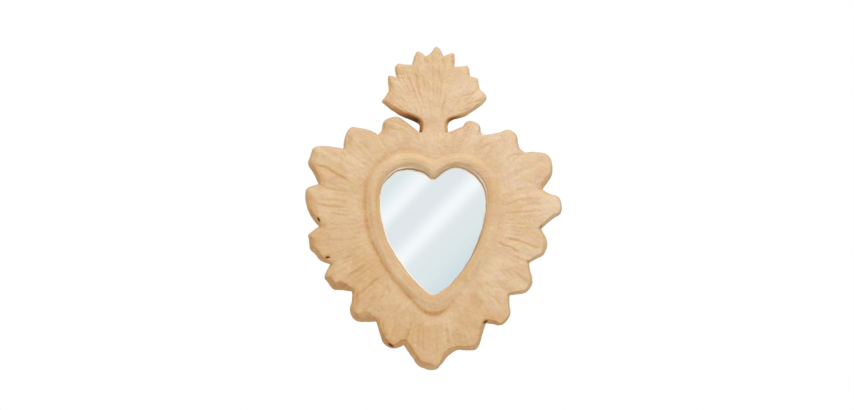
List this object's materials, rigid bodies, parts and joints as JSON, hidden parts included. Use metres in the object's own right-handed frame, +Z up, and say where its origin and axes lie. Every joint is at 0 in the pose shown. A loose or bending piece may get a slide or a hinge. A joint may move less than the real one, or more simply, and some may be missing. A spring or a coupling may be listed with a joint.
{
  "type": "wall mirror",
  "caption": "Heart-shaped wall mirror: lobed papier-mache border with a fan crest round a recessed heart of mirror glass, closed at the back by a board with a swinging hanger ring.",
  "frame": {"origin": "on the wall plane behind the middle of the heart opening", "axes": "+X to the right and +Z up as the mirror hangs and is seen from the front, +Y into the wall, so the front faces -Y"},
  "size_m": [0.2723, 0.0208, 0.343],
  "materials": {
    "kraft_shell": "matte",
    "liner_paper": "matte",
    "mirror_glass": "polished",
    "grey_board": "matte",
    "gummed_paper": "satin",
    "back_kraft": "matte",
    "hanger_steel": "satin",
    "ring_steel": "satin",
    "rivet_steel": "satin"
  },
  "bodies": {
    "frame": {"ray_border": "kraft_shell", "fan_crest": "kraft_shell", "opening_bead": "kraft_shell", "opening_liner": "liner_paper", "mirror_pane": "mirror_glass", "pane_frame": "grey_board", "pane_backer": "grey_board", "pane_tapes": "gummed_paper", "back_board": "grey_board", "back_paper": "back_kraft", "hanger_cleat": "grey_board", "hanger_strap": "hanger_steel", "hanger_rivets": "rivet_steel", "rivet_washers": "rivet_steel"},
    "ring": {"hanger_ring": "ring_steel"}
  },
  "joints": [
    {"name": "ring_swing", "type": "hinge", "parent": "frame", "child": "ring", "pos_m": [0, -0.00195, 0.04545], "axis": [-1, 0, 0], "range_deg": [0, 183]}
  ]
}
